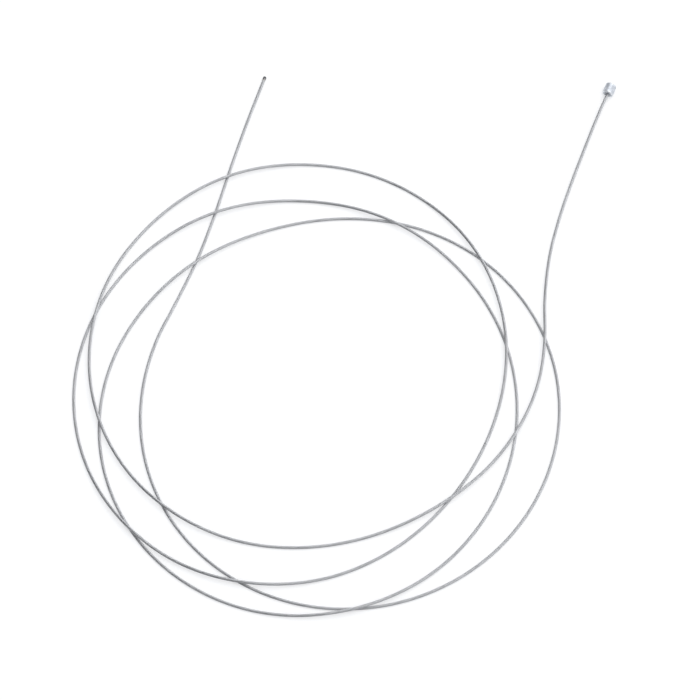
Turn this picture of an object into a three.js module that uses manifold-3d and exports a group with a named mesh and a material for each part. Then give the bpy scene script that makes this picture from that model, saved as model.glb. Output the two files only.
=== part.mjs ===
// A bicycle inner cable: a twisted steel strand with a small cast barrel head, lying loosely coiled as it is stored.
// Millimetres, +Z up. The coil lies flat on the ground plane, and its head and tail both point towards +Y.

import * as THREE from "three";
import { mergeVertices } from "three/addons/utils/BufferGeometryUtils.js";
import Module from "manifold-3d";

const wasm = await Module();
wasm.setup();

// Strand: the twisted wires as one round section, melted together into a bead at the tail.
const strandDiameter = 1.2;
const strandSides = 8;
const strandSteps = 240;
const beadDiameter = 1.36;
const beadLength = 2.6;
const beadSegments = 16;

// Head: a zinc barrel cast on the strand's end, which lies bare in a shallow dish in the crown.
const headDiameter = 4.4;
const headLength = 4.4;
const headEdgeRadius = 0.28;
const headSegments = 32;
const edgeSteps = 3;
const boreClearance = 0.06;
const dishDiameter = 2.3;
const dishDepth = 0.3;

// Coil: the turns wander in and out inside a band, so they cross each other in many places.
const coilRadius = 83.2;
const coilSpread = 14.8;
const coilSway = 1.8;
const coilTurns = 3.6;
const startAngle = 10;
const wanderStart = 79;
const wanderPerTurn = 1.19;
const swayAngle = -75;
const pointsPerTurn = 36;

// Crossings: where two stretches cross, the one nearer the head goes over in a long low hump.
const crossingGap = 0.3;
const humpReach = 40;

// Lead to the head and tail to the tip, as offsets in the ground plane from the ends of the coil.
// The third number is the share of the way up from a strand that lies on the ground to the line of the head or bead.
const leadOffsets = [
  [29.8, 112.0, 1],
  [23.6, 97.5, 1],
  [17.6, 82.2, 0.75],
  [11.9, 67.1, 0.35],
  [6.9, 52.1, 0.1],
  [3.0, 36.9, 0],
  [0.6, 18.4, 0],
];
const tailOffsets = [
  [9.2, 21.1, 0],
  [15.9, 40.9, 0],
  [21.7, 60.7, 0],
  [27.6, 79.8, 0.5],
  [34.9, 101.4, 1],
];

const castZinc = new THREE.MeshStandardMaterial({ color: 0xa3a8b4, roughness: 0.5, metalness: 0.75 });
const twistedSteel = new THREE.MeshStandardMaterial({ color: 0xb5b4b2, roughness: 0.35, metalness: 0.9 });

// The turns of the coil, clockwise seen from above, flat on the ground.
function coilPoints() {
  const points = [];
  const count = Math.round(coilTurns * pointsPerTurn);
  for (let i = 0; i <= count; i++) {
    const turned = (coilTurns * 2 * Math.PI * i) / count;
    const angle = THREE.MathUtils.degToRad(startAngle) - turned;
    const wander = THREE.MathUtils.degToRad(wanderStart) + wanderPerTurn * turned;
    const sway = Math.cos(2 * angle + THREE.MathUtils.degToRad(swayAngle));
    const radius = coilRadius + coilSpread * Math.cos(wander) + coilSway * sway;
    points.push(new THREE.Vector3(radius * Math.cos(angle), radius * Math.sin(angle), strandDiameter / 2));
  }
  return points;
}

// Points beside one end of the coil, going from the ground up to the line of the piece at that end.
function endPoints(offsets, coilEnd, lineHeight) {
  return offsets.map(([x, y, share]) => {
    const height = THREE.MathUtils.lerp(coilEnd.z, lineHeight, share);
    return new THREE.Vector3(coilEnd.x + x, coilEnd.y + y, height);
  });
}

// Where the route crosses itself seen from above, as places counted in points, with the one nearer the head first.
function findCrossings(points) {
  const crossings = [];
  for (let i = 0; i < points.length - 1; i++) {
    for (let j = i + 2; j < points.length - 1; j++) {
      const first = points[i + 1].clone().sub(points[i]);
      const second = points[j + 1].clone().sub(points[j]);
      const between = points[j].clone().sub(points[i]);
      const area = first.x * second.y - first.y * second.x;
      const alongFirst = (between.x * second.y - between.y * second.x) / area;
      const alongSecond = (between.x * first.y - between.y * first.x) / area;
      if (alongFirst >= 0 && alongFirst < 1 && alongSecond >= 0 && alongSecond < 1) {
        crossings.push({ over: i + alongFirst, under: j + alongSecond });
      }
    }
  }
  return crossings;
}

// A value at a place counted in points, between the values at the points on both sides of it.
function valueAt(values, place) {
  const index = Math.floor(place);
  return THREE.MathUtils.lerp(values[index], values[index + 1], place - index);
}

// Lays the cable down from its tail, raising it over whatever already lies there.
function layDown(points) {
  const ground = points.map((point) => point.z);
  const heights = [...ground];
  const travelled = [0];
  for (let i = 1; i < points.length; i++) {
    const step = Math.hypot(points[i].x - points[i - 1].x, points[i].y - points[i - 1].y);
    travelled.push(travelled[i - 1] + step);
  }
  const fromTheTail = findCrossings(points).sort((a, b) => b.over - a.over);
  for (const { over, under } of fromTheTail) {
    const top = valueAt(heights, under) + strandDiameter + crossingGap;
    const peak = valueAt(travelled, over);
    points.forEach((point, i) => {
      const reach = Math.min(1, Math.abs(travelled[i] - peak) / humpReach);
      const hump = (1 - reach ** 2) ** 2;
      heights[i] = Math.max(heights[i], THREE.MathUtils.lerp(ground[i], top, hump));
    });
  }
  return points.map((point, i) => new THREE.Vector3(point.x, point.y, heights[i]));
}

function strandRoute() {
  const coil = coilPoints();
  const lead = endPoints(leadOffsets, coil[0], headDiameter / 2);
  const tail = endPoints(tailOffsets, coil[coil.length - 1], beadDiameter / 2);
  const route = new THREE.CatmullRomCurve3(layDown([...lead, ...coil, ...tail]));
  route.arcLengthDivisions = 4000;
  return route;
}

// A quarter circle of an edge, as profile points from one angle to the other about the edge's own centre.
function edgeArc(centreX, centreY, fromDegrees, toDegrees) {
  const points = [];
  for (let i = 0; i <= edgeSteps; i++) {
    const angle = THREE.MathUtils.degToRad(THREE.MathUtils.lerp(fromDegrees, toDegrees, i / edgeSteps));
    points.push(
      new THREE.Vector2(centreX + headEdgeRadius * Math.cos(angle), centreY + headEdgeRadius * Math.sin(angle)),
    );
  }
  return points;
}

// The barrel on its own axis: the crown at the origin, the strand leaving along +Y.
function headGeometry() {
  const boreRadius = strandDiameter / 2 + boreClearance;
  const edgeCentre = headDiameter / 2 - headEdgeRadius;
  const profile = [
    new THREE.Vector2(boreRadius, dishDepth),
    new THREE.Vector2(dishDiameter / 2, 0),
    ...edgeArc(edgeCentre, headEdgeRadius, -90, 0),
    ...edgeArc(edgeCentre, headLength - headEdgeRadius, 0, 90),
    new THREE.Vector2(boreRadius, headLength),
    new THREE.Vector2(boreRadius, dishDepth),
  ];
  return new THREE.LatheGeometry(profile, headSegments);
}

// The melted end: a short capsule on its own axis, centred on the origin.
function beadGeometry() {
  const straight = beadLength - beadDiameter;
  return new THREE.CapsuleGeometry(beadDiameter / 2, straight, 4, beadSegments);
}

function strandGeometry(route) {
  const section = new THREE.Shape();
  for (let i = 0; i < strandSides; i++) {
    const angle = (2 * Math.PI * (i + 0.5)) / strandSides;
    const x = (strandDiameter / 2) * Math.cos(angle);
    const y = (strandDiameter / 2) * Math.sin(angle);
    if (i === 0) section.moveTo(x, y);
    else section.lineTo(x, y);
  }
  section.closePath();
  return new THREE.ExtrudeGeometry(section, { steps: strandSteps, extrudePath: route });
}

// The direction of the swept section between two of its stations.
function sweptDirection(route, fromStep, toStep) {
  const from = route.getPointAt(fromStep / strandSteps);
  const to = route.getPointAt(toStep / strandSteps);
  return to.sub(from).normalize();
}

function solidOf(geometry) {
  const bare = geometry.clone();
  bare.deleteAttribute("normal");
  bare.deleteAttribute("uv");
  const merged = mergeVertices(bare, 1e-3);
  return new wasm.Manifold(
    new wasm.Mesh({
      numProp: 3,
      vertProperties: merged.attributes.position.array,
      triVerts: new Uint32Array(merged.index.array),
    }),
  );
}

function geometryOf(solid) {
  const mesh = solid.getMesh();
  const geometry = new THREE.BufferGeometry();
  geometry.setAttribute("position", new THREE.BufferAttribute(mesh.vertProperties, 3));
  geometry.setIndex(new THREE.BufferAttribute(mesh.triVerts, 1));
  geometry.computeVertexNormals();
  return geometry;
}

// The head stands with its crown past the strand's end by the depth of the dish, on the strand's own line.
function makeHead(route) {
  const direction = sweptDirection(route, 0, 1);
  const head = new THREE.Mesh(headGeometry(), castZinc);
  head.name = "head";
  head.quaternion.setFromUnitVectors(new THREE.Vector3(0, 1, 0), direction);
  head.position.copy(route.getPointAt(0)).addScaledVector(direction, -dishDepth);
  return head;
}

// The strand and its bead are one piece of steel, so they are joined into one solid.
function makeStrand(route) {
  const direction = sweptDirection(route, strandSteps - 1, strandSteps);
  const turn = new THREE.Quaternion().setFromUnitVectors(new THREE.Vector3(0, 1, 0), direction);
  const tip = route.getPointAt(1);
  const bead = beadGeometry().applyQuaternion(turn).translate(tip.x, tip.y, tip.z);
  const joined = solidOf(strandGeometry(route)).add(solidOf(bead));
  const strand = new THREE.Mesh(geometryOf(joined), twistedSteel);
  strand.name = "strand";
  return strand;
}

const route = strandRoute();
const group = new THREE.Group();
group.add(makeHead(route), makeStrand(route));

// The origin is on the ground, in the middle of the cable's footprint.
const footprint = new THREE.Box3().setFromObject(group, true);
const middle = footprint.getCenter(new THREE.Vector3());
group.position.set(-middle.x, -middle.y, -footprint.min.z);

export default group;
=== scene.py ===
# A bicycle inner cable on a pale floor: twisted steel strand, cast barrel head, melted tip.
# Metres, in the frame of the CAD model.
import math
import random

import bmesh
import bpy
from mathutils import Matrix, Vector


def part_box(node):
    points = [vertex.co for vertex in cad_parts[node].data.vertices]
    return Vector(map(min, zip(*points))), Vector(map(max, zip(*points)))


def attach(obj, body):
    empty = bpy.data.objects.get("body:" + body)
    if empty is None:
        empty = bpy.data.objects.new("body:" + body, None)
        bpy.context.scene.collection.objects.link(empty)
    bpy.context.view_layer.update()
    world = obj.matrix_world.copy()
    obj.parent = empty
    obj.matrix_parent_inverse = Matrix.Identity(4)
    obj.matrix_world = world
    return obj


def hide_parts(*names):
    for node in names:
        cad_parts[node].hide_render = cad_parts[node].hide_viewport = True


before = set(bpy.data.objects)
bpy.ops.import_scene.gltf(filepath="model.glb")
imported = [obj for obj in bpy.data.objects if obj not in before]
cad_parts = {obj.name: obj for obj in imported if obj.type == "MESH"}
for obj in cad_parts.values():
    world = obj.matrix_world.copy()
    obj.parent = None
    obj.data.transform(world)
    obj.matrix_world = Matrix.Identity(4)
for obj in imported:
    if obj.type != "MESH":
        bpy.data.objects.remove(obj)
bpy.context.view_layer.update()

mm = 0.001

# sizes that more than one piece goes by
cable = {
    "strandDiameter": 1.2 * mm,
    "beadDiameter": 1.36 * mm,
    "headDiameter": 4.4 * mm,
    "headLength": 4.4 * mm,
    "dishDepth": 0.3 * mm,
}


# camera

# it looks down on the coil, and this much of the floor fills the picture's width
camera = {
    "elevation": 68.0,
    "lens": 150.0,
    "sensor": 36.0,
    "clipStart": 0.01,
    "widthInView": 274.5 * mm,
    "lookAt": (0.0, -5.7 * mm, 1.0 * mm),
}


def makeCamera():
    data = bpy.data.cameras.new("camera")
    data.lens = camera["lens"]
    data.sensor_width = camera["sensor"]
    data.clip_start = camera["clipStart"]
    distance = camera["widthInView"] * camera["lens"] / camera["sensor"]
    elevation = math.radians(camera["elevation"])
    towardsCamera = Vector((0, -math.cos(elevation), math.sin(elevation)))
    item = bpy.data.objects.new("camera", data)
    item.location = Vector(camera["lookAt"]) + distance * towardsCamera
    item.rotation_euler = (math.pi / 2 - elevation, 0, 0)
    bpy.context.collection.objects.link(item)
    bpy.context.scene.camera = item


print("camera")
makeCamera()
bpy.context.scene.view_settings.view_transform = "Standard"


# route

# the same as the CAD model's, from the head to the tail
route = {
    "coilRadius": 83.2 * mm,
    "coilSpread": 14.8 * mm,
    "coilSway": 1.8 * mm,
    "coilTurns": 3.6,
    "startAngle": 10,
    "wanderStart": 79,
    "wanderPerTurn": 1.19,
    "swayAngle": -75,
    "pointsPerTurn": 36,
    "pointsPerSpan": 32,  # of the fine line, between two points of the route
    "crossingGap": 0.3 * mm,
    "humpReach": 40 * mm,
    "headChord": 1 / 240,  # share of the length over which the CAD model's first step runs
    # offsets from the coil's ends in millimetres, and the share of the way up to the head or bead
    "leadOffsets": [
        (29.8, 112.0, 1),
        (23.6, 97.5, 1),
        (17.6, 82.2, 0.75),
        (11.9, 67.1, 0.35),
        (6.9, 52.1, 0.1),
        (3.0, 36.9, 0),
        (0.6, 18.4, 0),
    ],
    "tailOffsets": [
        (9.2, 21.1, 0),
        (15.9, 40.9, 0),
        (21.7, 60.7, 0),
        (27.6, 79.8, 0.5),
        (34.9, 101.4, 1),
    ],
}


def coilPoints():
    # the turns wander in and out inside a band, so they cross each other in many places
    count = round(route["coilTurns"] * route["pointsPerTurn"])
    points = []
    for i in range(count + 1):
        turned = route["coilTurns"] * 2 * math.pi * i / count
        angle = math.radians(route["startAngle"]) - turned
        wander = math.radians(route["wanderStart"]) + route["wanderPerTurn"] * turned
        sway = math.cos(2 * angle + math.radians(route["swayAngle"]))
        radius = route["coilRadius"] + route["coilSpread"] * math.cos(wander) + route["coilSway"] * sway
        x = radius * math.cos(angle)
        y = radius * math.sin(angle)
        points.append(Vector((x, y, cable["strandDiameter"] / 2)))
    return points


def endPoints(offsets, coilEnd, lineHeight):
    points = []
    for x, y, share in offsets:
        height = coilEnd.z + (lineHeight - coilEnd.z) * share
        points.append(Vector((coilEnd.x + x * mm, coilEnd.y + y * mm, height)))
    return points


def findCrossings(points):
    # places counted in points, the one nearer the head first
    crossings = []
    for i in range(len(points) - 1):
        first = points[i + 1] - points[i]
        for j in range(i + 2, len(points) - 1):
            second = points[j + 1] - points[j]
            between = points[j] - points[i]
            area = first.x * second.y - first.y * second.x
            if area == 0:
                continue
            alongFirst = (between.x * second.y - between.y * second.x) / area
            alongSecond = (between.x * first.y - between.y * first.x) / area
            if 0 <= alongFirst < 1 and 0 <= alongSecond < 1:
                crossings.append((i + alongFirst, j + alongSecond))
    return crossings


def valueAt(values, place):
    index = int(place)
    return values[index] + (values[index + 1] - values[index]) * (place - index)


def layDown(points):
    # from the tail on, each stretch goes over what already lies there in a long low hump
    ground = [point.z for point in points]
    heights = list(ground)
    travelled = [0.0]
    for before, after in zip(points, points[1:]):
        travelled.append(travelled[-1] + math.hypot(after.x - before.x, after.y - before.y))
    for over, under in sorted(findCrossings(points), reverse=True):
        top = valueAt(heights, under) + cable["strandDiameter"] + route["crossingGap"]
        peak = valueAt(travelled, over)
        for i, place in enumerate(travelled):
            reach = min(1.0, abs(place - peak) / route["humpReach"])
            hump = (1 - reach ** 2) ** 2
            heights[i] = max(heights[i], ground[i] + (top - ground[i]) * hump)
    return [Vector((point.x, point.y, height)) for point, height in zip(points, heights)]


def smoothLine(points):
    # centripetal Catmull-Rom curve through the points
    line = []
    for i in range(len(points) - 1):
        start = points[i]
        end = points[i + 1]
        before = points[i - 1] if i > 0 else 2 * start - end
        after = points[i + 2] if i + 2 < len(points) else 2 * end - start
        spanBefore = math.sqrt((start - before).length)
        span = math.sqrt((end - start).length)
        spanAfter = math.sqrt((after - end).length)
        leave = (start - before) / spanBefore - (end - before) / (spanBefore + span) + (end - start) / span
        arrive = (end - start) / span - (after - start) / (span + spanAfter) + (after - end) / spanAfter
        leave *= span
        arrive *= span
        square = 3 * (end - start) - 2 * leave - arrive
        cube = 2 * (start - end) + leave + arrive
        for k in range(route["pointsPerSpan"]):
            t = k / route["pointsPerSpan"]
            line.append(start + leave * t + square * t ** 2 + cube * t ** 3)
    line.append(points[-1])
    return line


class Line:
    # a dense line that can be asked for the points at some distances along it
    def __init__(self, points):
        self.points = points
        self.along = [0.0]
        for before, after in zip(points, points[1:]):
            self.along.append(self.along[-1] + (after - before).length)
        self.length = self.along[-1]

    def at(self, distances):
        # they rise from one to the next
        found = []
        index = 0
        for distance in distances:
            while index < len(self.along) - 2 and self.along[index + 1] < distance:
                index += 1
            share = (distance - self.along[index]) / (self.along[index + 1] - self.along[index])
            found.append(self.points[index].lerp(self.points[index + 1], share))
        return found


def makeRoute():
    coil = coilPoints()
    lead = endPoints(route["leadOffsets"], coil[0], cable["headDiameter"] / 2)
    tail = endPoints(route["tailOffsets"], coil[-1], cable["beadDiameter"] / 2)
    line = Line(smoothLine(layDown(lead + coil + tail)))
    start, chordEnd = line.at([0.0, line.length * route["headChord"]])
    direction = (chordEnd - start).normalized()
    # the head's box in the CAD model says where the whole route lies
    low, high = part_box("head")
    headMiddle = start + direction * (cable["headLength"] / 2 - cable["dishDepth"])
    shift = (low + high) / 2 - headMiddle
    placed = Line([point + shift for point in line.points])
    return placed, direction


print("route")
line, headDirection = makeRoute()
print("strand length in mm:", round(line.length / mm, 1))


# shader helpers

metalMottle = {
    "patchDetail": 3.0,
    "grainDetail": 5.0,
    "grainRoughness": 0.65,
}


def newMaterial(name):
    material = bpy.data.materials.new(name)
    material.use_nodes = True
    tree = material.node_tree
    return material, tree, tree.nodes["Principled BSDF"]


def makeMottleGroup():
    # slow patches and fine grain mixed into one value from 0 to 1
    group = bpy.data.node_groups.new("metalMottle", "ShaderNodeTree")
    group.interface.new_socket("Vector", in_out="INPUT", socket_type="NodeSocketVector")
    for name in ("Patch Scale", "Grain Scale", "Grain Share"):
        group.interface.new_socket(name, in_out="INPUT", socket_type="NodeSocketFloat")
    group.interface.new_socket("Value", in_out="OUTPUT", socket_type="NodeSocketFloat")
    nodes = group.nodes
    links = group.links
    entry = nodes.new("NodeGroupInput")
    exitNode = nodes.new("NodeGroupOutput")
    patches = nodes.new("ShaderNodeTexNoise")
    patches.inputs["Detail"].default_value = metalMottle["patchDetail"]
    grain = nodes.new("ShaderNodeTexNoise")
    grain.inputs["Detail"].default_value = metalMottle["grainDetail"]
    grain.inputs["Roughness"].default_value = metalMottle["grainRoughness"]
    mix = nodes.new("ShaderNodeMix")
    links.new(entry.outputs["Vector"], patches.inputs["Vector"])
    links.new(entry.outputs["Vector"], grain.inputs["Vector"])
    links.new(entry.outputs["Patch Scale"], patches.inputs["Scale"])
    links.new(entry.outputs["Grain Scale"], grain.inputs["Scale"])
    links.new(entry.outputs["Grain Share"], mix.inputs["Factor"])
    links.new(patches.outputs["Fac"], mix.inputs["A"])
    links.new(grain.outputs["Fac"], mix.inputs["B"])
    links.new(mix.outputs["Result"], exitNode.inputs["Value"])
    return group


def addMottle(tree, place, patchScale, grainScale, grainShare):
    node = tree.nodes.new("ShaderNodeGroup")
    node.node_tree = mottleGroup
    node.inputs["Patch Scale"].default_value = patchScale
    node.inputs["Grain Scale"].default_value = grainScale
    node.inputs["Grain Share"].default_value = grainShare
    tree.links.new(place, node.inputs["Vector"])
    return node.outputs["Value"]


def addRamp(tree, value, stops):
    ramp = tree.nodes.new("ShaderNodeValToRGB")
    elements = ramp.color_ramp.elements
    while len(elements) < len(stops):
        elements.new(0.5)
    for element, (position, color) in zip(elements, stops):
        element.position = position
        element.color = (*color, 1.0)
    tree.links.new(value, ramp.inputs["Fac"])
    return ramp.outputs["Color"]


def addMath(tree, operation, first, second=None, third=None, clamp=False):
    node = tree.nodes.new("ShaderNodeMath")
    node.operation = operation
    node.use_clamp = clamp
    for index, value in enumerate((first, second, third)):
        if value is None:
            continue
        if isinstance(value, (int, float)):
            node.inputs[index].default_value = value
        else:
            tree.links.new(value, node.inputs[index])
    return node.outputs[0]


def addMixColor(tree, factor, first, second):
    node = tree.nodes.new("ShaderNodeMix")
    node.data_type = "RGBA"
    for name, value in (("Factor", factor), ("A", first), ("B", second)):
        socket = [item for item in node.inputs if item.name == name and item.enabled][0]
        if isinstance(value, tuple):
            socket.default_value = (*value, 1.0)
        else:
            tree.links.new(value, socket)
    return [item for item in node.outputs if item.enabled][0]


def addRange(tree, value, low, high):
    node = tree.nodes.new("ShaderNodeMapRange")
    node.inputs["From Min"].default_value = low
    node.inputs["From Max"].default_value = high
    tree.links.new(value, node.inputs["Value"])
    return node.outputs["Result"]


def addPlace(tree, x, y, scales):
    # a flat place for a pattern, scaled each way
    node = tree.nodes.new("ShaderNodeCombineXYZ")
    tree.links.new(addMath(tree, "MULTIPLY", x, scales[0]), node.inputs["X"])
    tree.links.new(addMath(tree, "MULTIPLY", y, scales[1]), node.inputs["Y"])
    return node.outputs["Vector"]


def addAttribute(tree, name):
    node = tree.nodes.new("ShaderNodeAttribute")
    node.attribute_name = name
    return node.outputs["Fac"]


def addBump(tree, height, strength, distance):
    node = tree.nodes.new("ShaderNodeBump")
    node.inputs["Strength"].default_value = strength
    node.inputs["Distance"].default_value = distance
    tree.links.new(height, node.inputs["Height"])
    return node.outputs["Normal"]


mottleGroup = makeMottleGroup()


# materials

# each mottle gives the scales of its patches and grain, and the grain's share
steel = {
    "wireMottle": (1.0, 6.0, 0.25),
    "wireScales": (7.31, 0.35),  # for each wire round the strand, and for each centimetre along it
    "wireShades": [
        (0.30, (0.37, 0.374, 0.387)),
        (0.50, (0.57, 0.576, 0.596)),
        (0.70, (0.76, 0.768, 0.79)),
    ],
    "lineMottle": (1.0, 5.0, 0.5),
    "lineScales": (9.0, 1.6),
    "lineShare": 0.5,
    "drawnLine": (0.78, 0.788, 0.81),
    "creviceFrom": (0.24, 0.47),  # distances from a wire's crest over which it comes in, in wires
    "creviceShare": 0.85,
    # painted shade in the grooves between the wires, with some grease
    "creviceShadeAndGrease": (0.03, 0.03, 0.032),
    # colours that the melting left, by centimetres from the tip, and over which of these they come in
    "heatTints": [
        (0.08, (0.125, 0.125, 0.13)),
        (0.12, (0.17, 0.17, 0.185)),
        (0.16, (0.27, 0.26, 0.255)),
        (0.21, (0.42, 0.405, 0.375)),
        (0.28, (0.57, 0.576, 0.596)),
    ],
    "heatFades": (0.28, 0.18),
    "heatMottle": (2.0, 8.0, 0.4),
    "heatUneven": 0.05,
    "roughness": 0.26,
    "lineRoughness": 0.14,
    "creviceRoughness": 0.25,
    "heatRoughness": 0.15,
    "lineBump": (0.25, 0.01 * mm),  # strength and height
}


def makeSteelMaterial():
    # U counts the wires round the strand and V runs along it in centimetres from the tail's tip
    material, tree, shader = newMaterial("strandedSteel")
    uv = tree.nodes.new("ShaderNodeUVMap")
    uv.uv_map = "wires"
    parts = tree.nodes.new("ShaderNodeSeparateXYZ")
    tree.links.new(uv.outputs["UV"], parts.inputs["Vector"])
    around = parts.outputs["X"]
    along = parts.outputs["Y"]
    # how near a place is to the groove between two wires, where painted shade and grease go
    fromCrest = addMath(tree, "SUBTRACT", addMath(tree, "FRACT", around), 0.5)
    creviceShadeAndGrease = addRange(tree, addMath(tree, "ABSOLUTE", fromCrest), *steel["creviceFrom"])

    # each wire has its own shade, which drifts along the cable
    wirePlace = addPlace(tree, addMath(tree, "FLOOR", around), along, steel["wireScales"])
    shade = addRamp(tree, addMottle(tree, wirePlace, *steel["wireMottle"]), steel["wireShades"])

    # drawing lines run along each wire, and the grooves between the wires are darkened with painted shade
    # and some grease
    linePlace = addPlace(tree, around, along, steel["lineScales"])
    drawnLines = addMottle(tree, linePlace, *steel["lineMottle"])
    lineShare = addMath(tree, "MULTIPLY", drawnLines, steel["lineShare"])
    lined = addMixColor(tree, lineShare, shade, steel["drawnLine"])
    creviceShare = addMath(tree, "MULTIPLY", creviceShadeAndGrease, steel["creviceShare"])
    shadedAndGreased = addMixColor(tree, creviceShare, lined, steel["creviceShadeAndGrease"])

    # the bead is dark with scale, and the wires beside it go back to their own grey unevenly
    uneven = addMottle(tree, linePlace, *steel["heatMottle"])
    fromTip = addMath(tree, "MULTIPLY_ADD", uneven, steel["heatUneven"], along)
    heated = addRange(tree, fromTip, *steel["heatFades"])
    color = addMixColor(tree, heated, shadedAndGreased, addRamp(tree, fromTip, steel["heatTints"]))
    tree.links.new(color, shader.inputs["Base Color"])

    roughness = addMath(tree, "MULTIPLY_ADD", drawnLines, steel["lineRoughness"], steel["roughness"])
    roughness = addMath(tree, "MULTIPLY_ADD", creviceShadeAndGrease, steel["creviceRoughness"], roughness)
    roughness = addMath(tree, "MULTIPLY_ADD", heated, steel["heatRoughness"], roughness)
    tree.links.new(roughness, shader.inputs["Roughness"])
    shader.inputs["Metallic"].default_value = 1.0
    tree.links.new(addBump(tree, drawnLines, *steel["lineBump"]), shader.inputs["Normal"])
    return material


zinc = {
    "skinMottle": (900.0, 9000.0, 0.4),
    "skinShades": [
        (0.36, (0.49, 0.52, 0.57)),
        (0.50, (0.66, 0.695, 0.755)),
        (0.64, (0.79, 0.82, 0.87)),
    ],
    "rubMottle": (2600.0, 12000.0, 0.5),
    "rubSpread": (1.6, -0.1),  # what its value is multiplied by, and what is added then
    "rubbed": (0.87, 0.89, 0.92),
    # painted shade for the dish in the crown, and how much of it is mixed in
    "dishShadeShare": 0.6,
    "dishShade": (0.12, 0.125, 0.135),
    "roughness": 0.36,
    "skinRoughness": 0.25,
    "rubRoughness": -0.1,
    "metallic": 0.5,  # of the dull skin, and one where it is rubbed bright
    "grainMottle": (3200.0, 9000.0, 0.5),
    "grainBump": (0.8, 0.09 * mm),
}


def makeZincMaterial():
    # bare die-cast zinc: a grainy grey skin in dull patches, with its rims rubbed brighter and painted shade
    # darkening the dish in the crown
    material, tree, shader = newMaterial("castZinc")
    place = tree.nodes.new("ShaderNodeTexCoord").outputs["Object"]
    mottle = addMottle(tree, place, *zinc["skinMottle"])
    skin = addRamp(tree, mottle, zinc["skinShades"])
    patchy = addMath(tree, "MULTIPLY_ADD", addMottle(tree, place, *zinc["rubMottle"]), *zinc["rubSpread"])
    rubbed = addMath(tree, "MULTIPLY", addAttribute(tree, "rubbed"), patchy, clamp=True)
    bright = addMixColor(tree, rubbed, skin, zinc["rubbed"])
    # painted shade darkens the dish
    dishShade = addMath(tree, "MULTIPLY", addAttribute(tree, "dishShade"), zinc["dishShadeShare"])
    tree.links.new(addMixColor(tree, dishShade, bright, zinc["dishShade"]), shader.inputs["Base Color"])
    dull = addMath(tree, "MULTIPLY_ADD", mottle, zinc["skinRoughness"], zinc["roughness"])
    roughness = addMath(tree, "MULTIPLY_ADD", rubbed, zinc["rubRoughness"], dull)
    tree.links.new(roughness, shader.inputs["Roughness"])
    bare = addMath(tree, "MULTIPLY_ADD", rubbed, 1 - zinc["metallic"], zinc["metallic"])
    tree.links.new(bare, shader.inputs["Metallic"])
    grain = addMottle(tree, place, *zinc["grainMottle"])
    tree.links.new(addBump(tree, grain, *zinc["grainBump"]), shader.inputs["Normal"])
    return material


cutWire = {
    "mottle": (3000.0, 20000.0, 0.5),
    "shades": [
        (0.35, (0.40, 0.39, 0.38)),
        (0.65, (0.72, 0.71, 0.70)),
    ],
    "roughness": 0.2,
    "mottleRoughness": 0.3,
}


def makeCutWireMaterial():
    # sheared ends of the wires: bright and a little scored
    material, tree, shader = newMaterial("cutWires")
    place = tree.nodes.new("ShaderNodeTexCoord").outputs["Object"]
    mottle = addMottle(tree, place, *cutWire["mottle"])
    tree.links.new(addRamp(tree, mottle, cutWire["shades"]), shader.inputs["Base Color"])
    roughness = addMath(tree, "MULTIPLY_ADD", mottle, cutWire["mottleRoughness"], cutWire["roughness"])
    tree.links.new(roughness, shader.inputs["Roughness"])
    shader.inputs["Metallic"].default_value = 1.0
    return material


print("materials")
steelMaterial = makeSteelMaterial()
zincMaterial = makeZincMaterial()
cutWireMaterial = makeCutWireMaterial()


# strand

# nineteen wires in three layers, of which the outer twelve show
strand = {
    "wiresAcross": 5,  # through the middle of the strand
    "outerWires": 12,
    "layLength": 13.2 * mm,
    "ringSpacing": 1.1 * mm,
    "shoulderAngle": 48,  # where a wire's own round side has a point, on each side of its crest
    "mapPlaces": (0.22, 0.5, 0.78),  # where the shoulders and the crest between them lie across a wire's map
    "valleyRadius": 0.49 * mm,
    "mapScale": 100,  # the map runs along the strand in centimetres
    "beadPast": 1.3 * mm,  # how far the bead goes past the end of the route
    # from the tip, the bead is at its widest up to the first and no wider than the strand past the second
    "beadSwell": (0.9 * mm, 1.6 * mm),
    # and the wires have run together up to the first and are apart past the second
    "beadMelt": (1.3 * mm, 2.1 * mm),
    "beadRings": 16,
}


def sectionPoints():
    # outline of the outer layer, as (radius, angle, place round the wires), each wire from its valley on
    wireRadius = cable["strandDiameter"] / strand["wiresAcross"] / 2
    centreRadius = cable["strandDiameter"] / 2 - wireRadius
    pitch = 2 * math.pi / strand["outerWires"]
    shoulder = math.radians(strand["shoulderAngle"])
    points = []
    for wire in range(strand["outerWires"]):
        points.append((strand["valleyRadius"], pitch * (wire - 0.5), wire))
        for side, place in zip((-1, 0, 1), strand["mapPlaces"]):
            out = centreRadius + wireRadius * math.cos(side * shoulder)
            across = wireRadius * math.sin(side * shoulder)
            points.append((math.hypot(out, across), pitch * wire + math.atan2(across, out), wire + place))
    return points


def ringDistances(length):
    # even rings along the wires, closer ones towards the tip of the bead
    beadStart = length - strand["beadMelt"][1]
    count = round(beadStart / strand["ringSpacing"])
    distances = [beadStart * i / count for i in range(count)]
    for i in range(strand["beadRings"]):
        share = math.sin(math.pi / 2 * i / strand["beadRings"])
        distances.append(beadStart + (length - beadStart) * share)
    return distances


def fallOff(value, span):
    # one before the span and none after it
    share = min(1.0, max(0.0, (span[1] - value) / (span[1] - span[0])))
    return share * share * (3 - 2 * share)


def beadShape(fromTip):
    # how far the wires have run together, and the bead's radius there
    beadRadius = cable["beadDiameter"] / 2
    strandRadius = cable["strandDiameter"] / 2
    radius = strandRadius + (beadRadius - strandRadius) * fallOff(fromTip, strand["beadSwell"])
    if fromTip < beadRadius:
        radius *= math.sqrt(1 - (1 - fromTip / beadRadius) ** 2)
    return fallOff(fromTip, strand["beadMelt"]), radius


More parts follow.
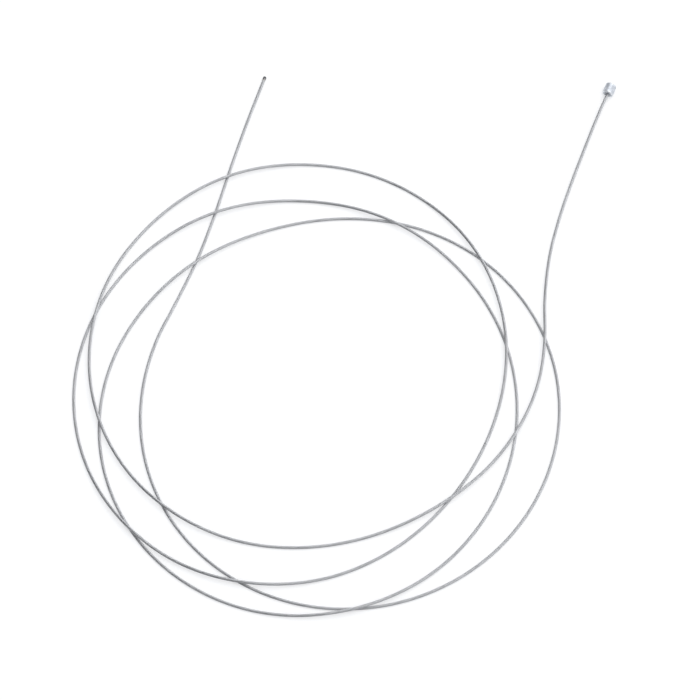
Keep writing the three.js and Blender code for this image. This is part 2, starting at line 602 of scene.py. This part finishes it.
def strandVertices(section, centres, distances, length):
    # a ring round each centre, turned on by the strand's lay
    vertices = []
    for i, (centre, distance) in enumerate(zip(centres, distances)):
        tangent = (centres[min(i + 1, len(centres) - 1)] - centres[max(i - 1, 0)]).normalized()
        side = tangent.cross(Vector((0, 0, 1))).normalized()
        up = side.cross(tangent)
        twist = 2 * math.pi * distance / strand["layLength"]
        melted, beadRadius = beadShape(length - distance)
        for radius, angle, _ in section:
            reach = radius + (beadRadius - radius) * melted
            sideways = side * (reach * math.cos(angle + twist))
            upwards = up * (reach * math.sin(angle + twist))
            vertices.append(centre + sideways + upwards)
    return vertices


def strandFaces(rings, count):
    # a flat end inside the head, the wires' sides, and a fan that closes the bead in one point
    faces = [tuple(range(count))]
    for i in range(rings - 1):
        for j in range(count):
            after = (j + 1) % count
            faces.append((i * count + j, (i + 1) * count + j, (i + 1) * count + after, i * count + after))
    last = (rings - 1) * count
    tip = rings * count
    for j in range(count):
        faces.append((last + (j + 1) % count, last + j, tip))
    return faces


def addWireMap(mesh, section, distances, length):
    # U is the place round the wires and V the centimetres from the tip
    layer = mesh.uv_layers.new(name="wires")
    count = len(section)
    for polygon in mesh.polygons:
        corners = [mesh.loops[k].vertex_index for k in polygon.loop_indices]
        places = [corner % count for corner in corners]
        wraps = len(corners) < count and count - 1 in places
        for k, corner, place in zip(polygon.loop_indices, corners, places):
            around = section[place][2]
            if wraps and place == 0:
                around += strand["outerWires"]
            fromTip = length - distances[corner // count]
            layer.data[k].uv = (around, fromTip * strand["mapScale"])


def creaseValleys(mesh, count, rings):
    # the grooves between the wires stay sharp as far as the bead
    pointsPerWire = count // strand["outerWires"]
    for edge in mesh.edges:
        first, second = edge.vertices
        inValley = first % pointsPerWire == 0 and abs(first - second) == count
        if inValley and first // count < rings:
            edge.use_edge_sharp = True


def makeStrand(line):
    tipDirection = (line.points[-1] - line.points[-2]).normalized()
    tip = line.points[-1] + tipDirection * strand["beadPast"]
    whole = Line(line.points + [tip])
    distances = ringDistances(whole.length)
    centres = whole.at(distances)
    section = sectionPoints()
    vertices = strandVertices(section, centres, distances, whole.length) + [tip]
    mesh = bpy.data.meshes.new("strand_wires")
    mesh.from_pydata(vertices, [], strandFaces(len(centres), len(section)))
    addWireMap(mesh, section, distances + [whole.length], whole.length)
    for polygon in mesh.polygons:
        polygon.use_smooth = True
    creaseValleys(mesh, len(section), len(centres) - strand["beadRings"])
    piece = bpy.data.objects.new("strand_wires", mesh)
    bpy.context.collection.objects.link(piece)
    return piece, centres + [tip], whole.length


print("strand")
strandPiece, ringCentres, strandLength = makeStrand(line)
strandPiece.data.materials.append(steelMaterial)
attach(strandPiece, "root")
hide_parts("strand")
print("strand triangles:", sum(len(p.vertices) - 2 for p in strandPiece.data.polygons))


# mesh helpers

levelFace = 0.9  # a face is level if its normal goes further up or down than this
tiny = 1e-7  # and two places are one if they are nearer than this


def addCylinder(sides, radius, length):
    # its top at the origin
    bpy.ops.object.select_all(action="DESELECT")
    bpy.ops.mesh.primitive_cylinder_add(
        vertices=sides,
        radius=radius,
        depth=length,
        location=(0, 0, -length / 2),
    )
    bpy.ops.object.transform_apply(location=True, rotation=True, scale=True)
    return bpy.context.active_object


def namePiece(piece, name):
    piece.name = name
    piece.data.name = name


def startEdit(piece):
    bpy.ops.object.select_all(action="DESELECT")
    piece.select_set(True)
    bpy.context.view_layer.objects.active = piece
    bpy.ops.object.mode_set(mode="EDIT")


def finishEdit(smoothAngle):
    bpy.ops.object.mode_set(mode="OBJECT")
    bpy.ops.object.shade_smooth_by_angle(angle=math.radians(smoothAngle))


def selectFaces(piece, test):
    bpy.ops.mesh.select_mode(type="FACE")
    bpy.ops.mesh.select_all(action="DESELECT")
    bm = bmesh.from_edit_mesh(piece.data)
    for face in bm.faces:
        if test(face):
            face.select_set(True)


def selectEdges(piece, test):
    bpy.ops.mesh.select_mode(type="EDGE")
    bpy.ops.mesh.select_all(action="DESELECT")
    bm = bmesh.from_edit_mesh(piece.data)
    for edge in bm.edges:
        if test(edge):
            edge.select_set(True)


def looksUp(face):
    return face.normal.z > levelFace


def looksDown(face):
    return face.normal.z < -levelFace


def placeOnHead(piece):
    # the crown at the origin, looking along +Z, goes to its place at the cable's end
    crown = ringCentres[0] - headDirection * cable["dishDepth"]
    turn = Vector((0, 0, -1)).rotation_difference(headDirection).to_matrix().to_4x4()
    piece.data.transform(Matrix.Translation(crown) @ turn)


# head

head = {
    "sides": 64,
    "rows": 6,  # of faces along the barrel, before its rims are rounded
    "edgeRadius": 0.28 * mm,
    "edgeSteps": 5,
    "boreRadius": 0.62 * mm,
    "dishRadius": 1.15 * mm,
    "dishFloor": 0.25 * mm,  # width of the ring at the bottom of the dish
    "collarRadius": 0.85 * mm,
    "collarHeight": 0.12 * mm,
    "seamSlope": 0.05 * mm,
    "seamHeight": 0.03 * mm,
    "seamReach": 1.1,  # how far from the X axis the middle of a side on the seam may be, in half sides
    "gateSlope": 0.06 * mm,
    "gateHeight": 0.05 * mm,
    "gateAngle": 0.22,  # half of what the gate covers round the barrel, in radians
    "gateShare": 0.2,  # half of what it covers along the barrel, as a share of the length
    "smoothAngle": 35,
    "sideShare": 0.98,  # of the radius, past which a place counts as on the round side
    "longShare": 0.9,  # of the length, past which an edge counts as one along the barrel
}


def onSide(point):
    return point.xy.length > cable["headDiameter"] / 2 * head["sideShare"]


def onEndPlane(point):
    return abs(point.z) < tiny or abs(point.z + cable["headLength"]) < tiny


def alongBarrel(edge):
    first, second = edge.verts
    isLong = abs(first.co.z - second.co.z) > cable["headLength"] * head["longShare"]
    return isLong and onSide(first.co) and onSide(second.co)


def onRim(edge):
    return all(onSide(vertex.co) and onEndPlane(vertex.co) for vertex in edge.verts)


def onSeam(face):
    # down both sides, where the halves of the die met
    middle = face.calc_center_median()
    angle = abs(math.atan2(middle.y, abs(middle.x)))
    inAngle = angle < math.pi / head["sides"] * head["seamReach"]
    return onSide(middle) and inAngle


def onGate(face):
    # on one side's seam, halfway down, where the metal ran in
    middle = face.calc_center_median()
    angle = abs(math.atan2(middle.y, middle.x))
    inAngle = angle < head["gateAngle"]
    inLength = abs(middle.z + cable["headLength"] / 2) < cable["headLength"] * head["gateShare"]
    return onSide(middle) and inAngle and inLength


def makeHead():
    radius = cable["headDiameter"] / 2
    piece = addCylinder(head["sides"], radius, cable["headLength"])
    namePiece(piece, "barrel_head")
    startEdit(piece)

    # shallow dish in the crown, down to the bore
    selectFaces(piece, looksUp)
    bpy.ops.mesh.inset(thickness=radius - head["dishRadius"], depth=0)
    bpy.ops.mesh.inset(thickness=head["dishRadius"] - head["boreRadius"] - head["dishFloor"], depth=0)
    bpy.ops.transform.translate(value=(0, 0, -cable["dishDepth"]))
    bpy.ops.mesh.inset(thickness=head["dishFloor"], depth=0)

    # low collar where the zinc closes round the strand
    selectFaces(piece, looksDown)
    bpy.ops.mesh.inset(thickness=radius - head["collarRadius"], depth=0)
    bpy.ops.mesh.inset(thickness=head["collarRadius"] - head["boreRadius"], depth=0)
    bpy.ops.transform.translate(value=(0, 0, -head["collarHeight"]))

    # bore from end to end
    selectFaces(piece, lambda face: len(face.verts) == head["sides"])
    bpy.ops.mesh.delete(type="ONLY_FACE")
    selectEdges(piece, lambda edge: edge.is_boundary)
    bpy.ops.mesh.bridge_edge_loops()

    # rows along the barrel, then its rounded rims
    selectEdges(piece, alongBarrel)
    bpy.ops.mesh.subdivide(number_cuts=head["rows"] - 1)
    selectEdges(piece, onRim)
    bpy.ops.mesh.bevel(
        offset=head["edgeRadius"],
        offset_type="OFFSET",
        segments=head["edgeSteps"],
        profile=0.5,
        affect="EDGES",
    )

    # the die's seam and the mark of its gate
    selectFaces(piece, onSeam)
    bpy.ops.mesh.inset(thickness=head["seamSlope"], depth=head["seamHeight"])
    selectFaces(piece, onGate)
    bpy.ops.mesh.inset(thickness=head["gateSlope"], depth=head["gateHeight"])

    bpy.ops.mesh.select_all(action="SELECT")
    bpy.ops.mesh.remove_doubles(threshold=tiny)
    bpy.ops.mesh.normals_make_consistent(inside=False)
    finishEdit(head["smoothAngle"])
    return piece


# where the barrel's rims are rubbed, in edge radii, and how far the painted shade in the dish reaches
wearAndDishShade = {
    "middle": 0.3,  # depth from an end at which it is rubbed most
    "reach": 1.2,  # further along the barrel from there
    "inwards": 1.5,
    "strength": 1.4,
    "dishShare": 0.97,  # of the dish's radius, inside which painted shade darkens it
}


def markWearAndDishShade(piece):
    # how rubbed a place is by being near a rim, and whether it lies in the dish, which gets painted shade
    radius = cable["headDiameter"] / 2
    rim = head["edgeRadius"]
    rubbed = piece.data.attributes.new("rubbed", "FLOAT", "POINT")
    dishShade = piece.data.attributes.new("dishShade", "FLOAT", "POINT")
    for vertex in piece.data.vertices:
        reach = vertex.co.xy.length
        depth = min(-vertex.co.z, cable["headLength"] + vertex.co.z)
        nearEnd = max(0.0, 1 - abs(depth - wearAndDishShade["middle"] * rim) / (wearAndDishShade["reach"] * rim))
        nearSide = max(0.0, 1 - (radius - reach) / (wearAndDishShade["inwards"] * rim))
        rubbed.data[vertex.index].value = min(1.0, nearEnd * nearSide * wearAndDishShade["strength"])
        inDish = reach < head["dishRadius"] * wearAndDishShade["dishShare"]
        dishShade.data[vertex.index].value = 1.0 if inDish else 0.0


print("head")
headPiece = makeHead()
markWearAndDishShade(headPiece)
placeOnHead(headPiece)
headPiece.data.materials.append(zincMaterial)
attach(headPiece, "root")
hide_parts("head")


# wire ends in the dish

wireEnds = {
    "rings": [(1, 0.0), (6, 0.24 * mm), (12, 0.48 * mm)],
    "radius": 0.112 * mm,
    "sides": 12,
    "edge": 0.025 * mm,
    "edgeSteps": 2,
    "depth": 0.3 * mm,
    "lowest": 0.03 * mm,
    "highest": 0.09 * mm,
    "smoothAngle": 50,
    "seed": 19,
}


def makeWireEnd():
    piece = addCylinder(wireEnds["sides"], wireEnds["radius"], wireEnds["depth"])
    startEdit(piece)
    selectFaces(piece, looksUp)
    bpy.ops.mesh.bevel(offset=wireEnds["edge"], segments=wireEnds["edgeSteps"], affect="EDGES")
    finishEdit(wireEnds["smoothAngle"])
    return piece


def makeWireEnds():
    # one is copied for each wire, cut to slightly different heights
    first = makeWireEnd()
    chance = random.Random(wireEnds["seed"])
    copies = []
    for count, radius in wireEnds["rings"]:
        for i in range(count):
            angle = 2 * math.pi * i / count
            rise = chance.uniform(wireEnds["lowest"], wireEnds["highest"])
            copy = first.copy()
            copy.data = first.data.copy()
            place = Vector((radius * math.cos(angle), radius * math.sin(angle), rise - cable["dishDepth"]))
            copy.data.transform(Matrix.Translation(place))
            bpy.context.collection.objects.link(copy)
            copies.append(copy)
    bpy.data.objects.remove(first)
    bpy.ops.object.select_all(action="DESELECT")
    for copy in copies:
        copy.select_set(True)
    bpy.context.view_layer.objects.active = copies[0]
    bpy.ops.object.join()
    namePiece(copies[0], "wire_ends")
    return copies[0]


print("wire ends")
wireEndsPiece = makeWireEnds()
placeOnHead(wireEndsPiece)
wireEndsPiece.data.materials.append(cutWireMaterial)
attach(wireEndsPiece, "root")


# floor and light

studio = {
    "floorSize": 4.0,
    "floorColor": (0.62, 0.625, 0.635),
    "floorRoughness": 0.9,
    # added for the camera and for reflections, so that the floor is white and its shadows stay
    "floorLift": 0.46,
    # added for the camera where the lamp no longer reaches the floor, so that no horizon shows
    "farLift": 0.2,
    "farFrom": (0.25, 0.9),  # distances from the cable's middle over which it comes in
    "worldColor": (0.58, 0.585, 0.595),
    "backdrop": (1.0, 1.0, 1.0),  # what the camera sees past the floor
    "lean": 0.8,  # how much further down the pale ceiling comes on the right than on the left
    "reflections": [
        (0.0, (0.04, 0.04, 0.042)),
        (0.50, (0.20, 0.203, 0.21)),
        (0.90, (0.92, 0.93, 0.94)),
    ],
    "softbox": {"location": (0.3, 0.2, 1.1), "size": 1.6, "power": 8.0},
}


def makeFloorMaterial():
    material, tree, shader = newMaterial("paleFloor")
    shader.inputs["Base Color"].default_value = (*studio["floorColor"], 1.0)
    shader.inputs["Roughness"].default_value = studio["floorRoughness"]
    shader.inputs["Specular IOR Level"].default_value = 0.0
    rays = tree.nodes.new("ShaderNodeLightPath").outputs
    seen = addMath(tree, "MAXIMUM", rays["Is Camera Ray"], rays["Is Glossy Ray"])
    near = addMath(tree, "MULTIPLY", seen, studio["floorLift"])
    reach = tree.nodes.new("ShaderNodeVectorMath")
    reach.operation = "LENGTH"
    tree.links.new(tree.nodes.new("ShaderNodeTexCoord").outputs["Object"], reach.inputs[0])
    away = addRange(tree, reach.outputs["Value"], *studio["farFrom"])
    far = addMath(tree, "MULTIPLY", away, studio["farLift"])
    lift = tree.nodes.new("ShaderNodeEmission")
    tree.links.new(addMath(tree, "MULTIPLY_ADD", rays["Is Camera Ray"], far, near), lift.inputs["Strength"])
    together = tree.nodes.new("ShaderNodeAddShader")
    tree.links.new(shader.outputs["BSDF"], together.inputs[0])
    tree.links.new(lift.outputs["Emission"], together.inputs[1])
    tree.links.new(together.outputs["Shader"], tree.nodes["Material Output"].inputs["Surface"])
    return material


def makeFloor():
    bpy.ops.object.select_all(action="DESELECT")
    bpy.ops.mesh.primitive_plane_add(size=studio["floorSize"], location=(0, 0, 0))
    ground = bpy.context.active_object
    ground.name = "floor"
    ground.data.materials.append(makeFloorMaterial())


def makeWorld():
    # even studio light, and for reflections a pale ceiling over greyer walls
    world = bpy.data.worlds.new("studio")
    bpy.context.scene.world = world
    world.use_nodes = True
    tree = world.node_tree
    parts = tree.nodes.new("ShaderNodeSeparateXYZ")
    tree.links.new(tree.nodes.new("ShaderNodeTexCoord").outputs["Generated"], parts.inputs["Vector"])
    height = addMath(tree, "MULTIPLY_ADD", parts.outputs["X"], studio["lean"], parts.outputs["Z"])
    reflected = addRamp(tree, height, studio["reflections"])
    rays = tree.nodes.new("ShaderNodeLightPath").outputs
    light = addMixColor(tree, rays["Is Glossy Ray"], studio["worldColor"], reflected)
    shown = addMixColor(tree, rays["Is Camera Ray"], light, studio["backdrop"])
    tree.links.new(shown, tree.nodes["Background"].inputs["Color"])


def makeSoftbox():
    softbox = studio["softbox"]
    data = bpy.data.lights.new("softbox", "AREA")
    data.shape = "DISK"
    data.size = softbox["size"]
    data.energy = softbox["power"]
    lamp = bpy.data.objects.new("softbox", data)
    lamp.location = softbox["location"]
    lamp.rotation_euler = (-lamp.location).to_track_quat("-Z", "Y").to_euler()
    bpy.context.collection.objects.link(lamp)


print("floor and light")
makeFloor()
makeWorld()
makeSoftbox()
